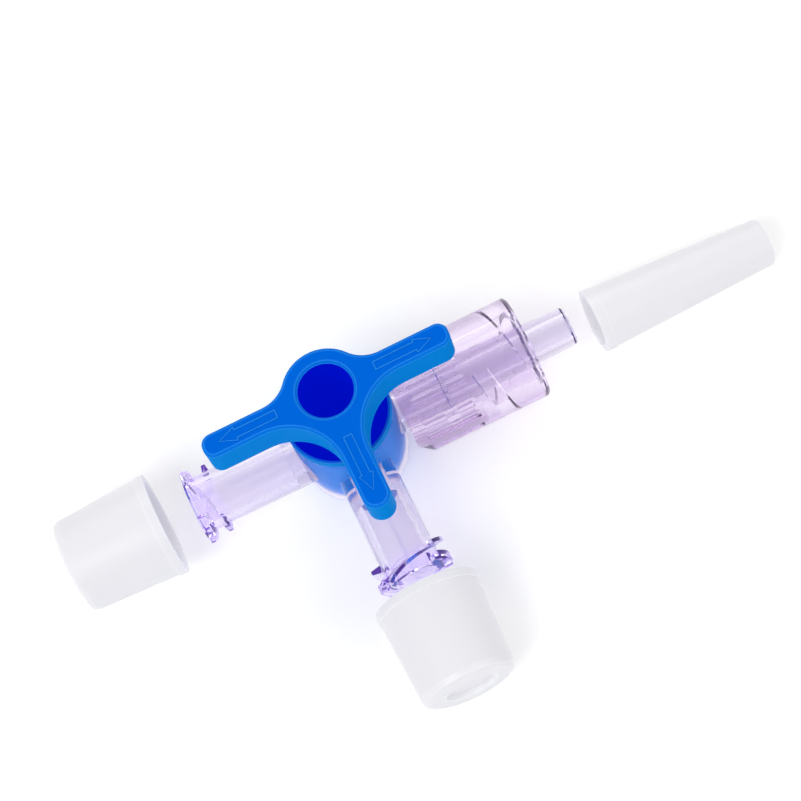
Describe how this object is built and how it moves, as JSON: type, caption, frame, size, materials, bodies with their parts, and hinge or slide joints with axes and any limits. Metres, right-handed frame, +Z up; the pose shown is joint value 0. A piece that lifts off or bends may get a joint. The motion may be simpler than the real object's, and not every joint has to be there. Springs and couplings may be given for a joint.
{
  "type": "three way stopcock",
  "caption": "Clear three way stopcock with a turning blue T-handle, threaded female ports, a male cone in a lock collar, and loose caps.",
  "frame": {"origin": "centre of the barrel's flat underside, which stands on the surface", "axes": "+Z up along the barrel's axis, +X along the run towards the male cone, and the side port points to -Y"},
  "size_m": [0.0772, 0.0344, 0.0186],
  "materials": {
    "clear_plastic": "clear moulded plastic with a pale lilac tint",
    "blue_plastic": "opaque azure blue, satin moulded",
    "collar_plastic": "clear moulded plastic with a pinkish lilac tint",
    "cap_plastic": "milky white, soft and slightly translucent"
  },
  "bodies": {
    "valve": {"valve_body": "clear_plastic", "male_tip_cap": "cap_plastic"},
    "core": {"core_handle": "blue_plastic"},
    "collar": {"lock_collar": "collar_plastic"},
    "left_cap": {"left_port_cap": "cap_plastic"},
    "side_cap": {"side_port_cap": "cap_plastic"}
  },
  "joints": [
    {"name": "handle_turn", "type": "hinge", "parent": "valve", "child": "core", "pos_m": [0, 0, 0.0113], "axis": [0, 0, 1], "continuous": true},
    {"name": "collar_spin", "type": "hinge", "parent": "valve", "child": "collar", "pos_m": [0.0129, 0, 0.0055], "axis": [1, 0, 0], "continuous": true},
    {"name": "left_cap_slide", "type": "slide", "parent": "valve", "child": "left_cap", "axis": [1, 0, 0], "range_m": [0, 0.0121]},
    {"name": "side_cap_slide", "type": "slide", "parent": "valve", "child": "side_cap", "axis": [0, 1, 0], "range_m": [0, 0.01075]}
  ]
}
